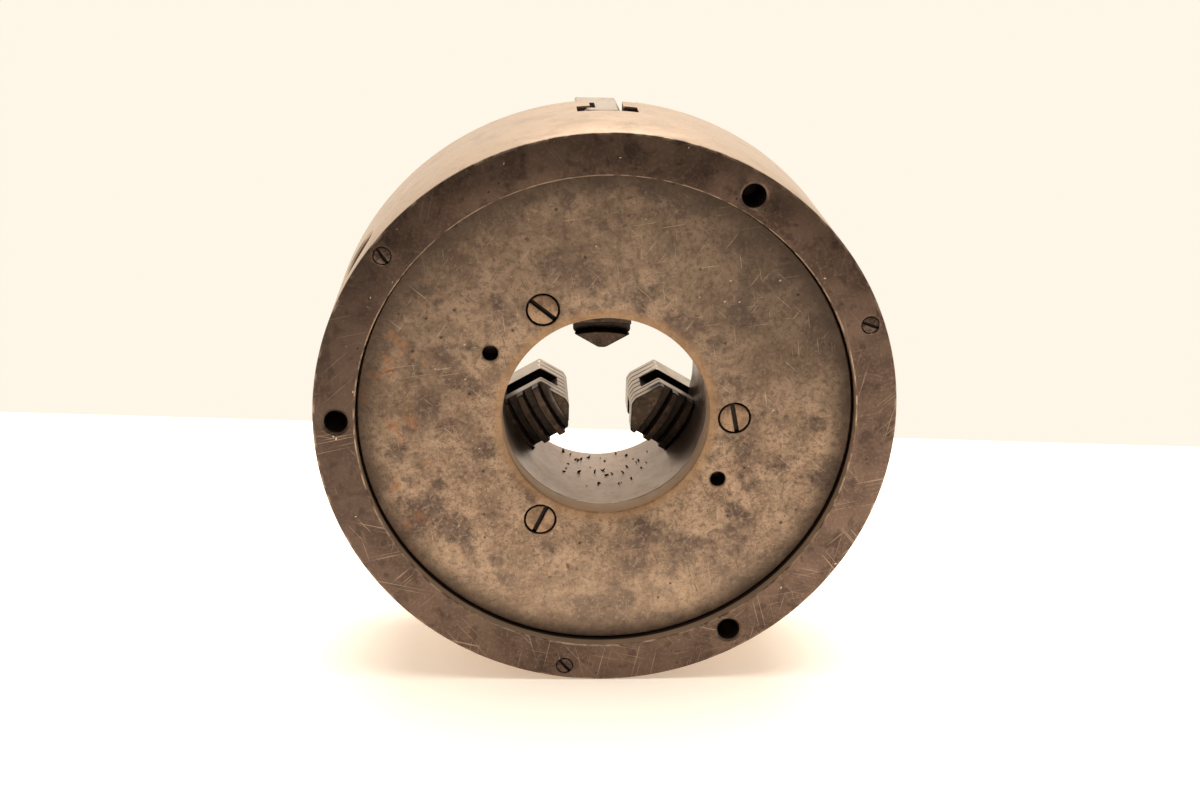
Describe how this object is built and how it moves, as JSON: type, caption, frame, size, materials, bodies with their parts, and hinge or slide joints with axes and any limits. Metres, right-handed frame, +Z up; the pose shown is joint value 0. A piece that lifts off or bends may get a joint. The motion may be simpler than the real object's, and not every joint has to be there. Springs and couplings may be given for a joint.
{
  "type": "lathe chuck",
  "caption": "Self-centring scroll lathe chuck: thick steel disc with a through bore, recessed back cover, bevel pinions with square key sockets, and coupled sliding jaws.",
  "frame": {"origin": "centre of the chuck's bounding box, on the spindle axis, halfway between the back rim face and the fronts of the jaws", "axes": "+Y along the spindle axis from the back mounting face to the jaws; +Z up as the chuck stands on its rim, through jaw 1; +X to the right seen from the back"},
  "size_m": [0.25, 0.0878, 0.25],
  "materials": {
    "body_steel": "worn machined iron, oil-darkened, scratched",
    "cover_steel": "worn machined iron with dark stains",
    "scroll_steel": "oiled machined steel",
    "jaw_steel": "hardened, oil-blackened steel",
    "pinion_steel": "oiled hardened steel",
    "pin_steel": "ground steel",
    "plug_steel": "blackened steel",
    "screw_steel": "worn steel"
  },
  "bodies": {
    "chuck": {"chuck_body": "body_steel", "cover_plate": "cover_steel", "pinion_pin_1": "pin_steel", "pinion_pin_2": "pin_steel", "pinion_pin_3": "pin_steel", "pin_plug_screw_1": "plug_steel", "pin_plug_screw_2": "plug_steel", "pin_plug_screw_3": "plug_steel", "cover_screw_1": "screw_steel", "cover_screw_2": "screw_steel", "cover_screw_3": "screw_steel", "cover_dowel_1": "pin_steel", "cover_dowel_2": "pin_steel"},
    "scroll": {"scroll_plate": "scroll_steel"},
    "jaw_1": {"jaw_1": "jaw_steel"},
    "jaw_2": {"jaw_2": "jaw_steel"},
    "jaw_3": {"jaw_3": "jaw_steel"},
    "pinion_1": {"pinion_1": "pinion_steel"},
    "pinion_2": {"pinion_2": "pinion_steel"},
    "pinion_3": {"pinion_3": "pinion_steel"}
  },
  "joints": [
    {"name": "scroll_spin", "type": "hinge", "parent": "chuck", "child": "scroll", "pos_m": [0, 0, 0], "axis": [0, -1, 0], "range_deg": [-720, 1800]},
    {"name": "jaw_1_slide", "type": "slide", "parent": "chuck", "child": "jaw_1", "axis": [0, 0, 1], "range_m": [-0.01601, 0.04001]},
    {"name": "jaw_2_slide", "type": "slide", "parent": "chuck", "child": "jaw_2", "axis": [-0.866, 0, -0.5], "range_m": [-0.01601, 0.04001]},
    {"name": "jaw_3_slide", "type": "slide", "parent": "chuck", "child": "jaw_3", "axis": [0.866, 0, -0.5], "range_m": [-0.01601, 0.04001]},
    {"name": "pinion_1_spin", "type": "hinge", "parent": "chuck", "child": "pinion_1", "pos_m": [0.09526, -0.0119, 0.055], "axis": [0.866, 0, 0.5], "range_deg": [-6481, 16201]},
    {"name": "pinion_2_spin", "type": "hinge", "parent": "chuck", "child": "pinion_2", "pos_m": [-0.09526, -0.0119, 0.055], "axis": [-0.866, 0, 0.5], "range_deg": [-6481, 16201]},
    {"name": "pinion_3_spin", "type": "hinge", "parent": "chuck", "child": "pinion_3", "pos_m": [0, -0.0119, -0.11], "axis": [0, 0, -1], "range_deg": [-6481, 16201]}
  ],
  "couplings": [
    {"joint": "jaw_1_slide", "follows": "scroll_spin", "m_per_rad": 0.0012732},
    {"joint": "jaw_2_slide", "follows": "scroll_spin", "m_per_rad": 0.0012732},
    {"joint": "jaw_3_slide", "follows": "scroll_spin", "m_per_rad": 0.0012732},
    {"joint": "pinion_1_spin", "follows": "scroll_spin", "ratio": 9},
    {"joint": "pinion_2_spin", "follows": "scroll_spin", "ratio": 9},
    {"joint": "pinion_3_spin", "follows": "scroll_spin", "ratio": 9}
  ]
}
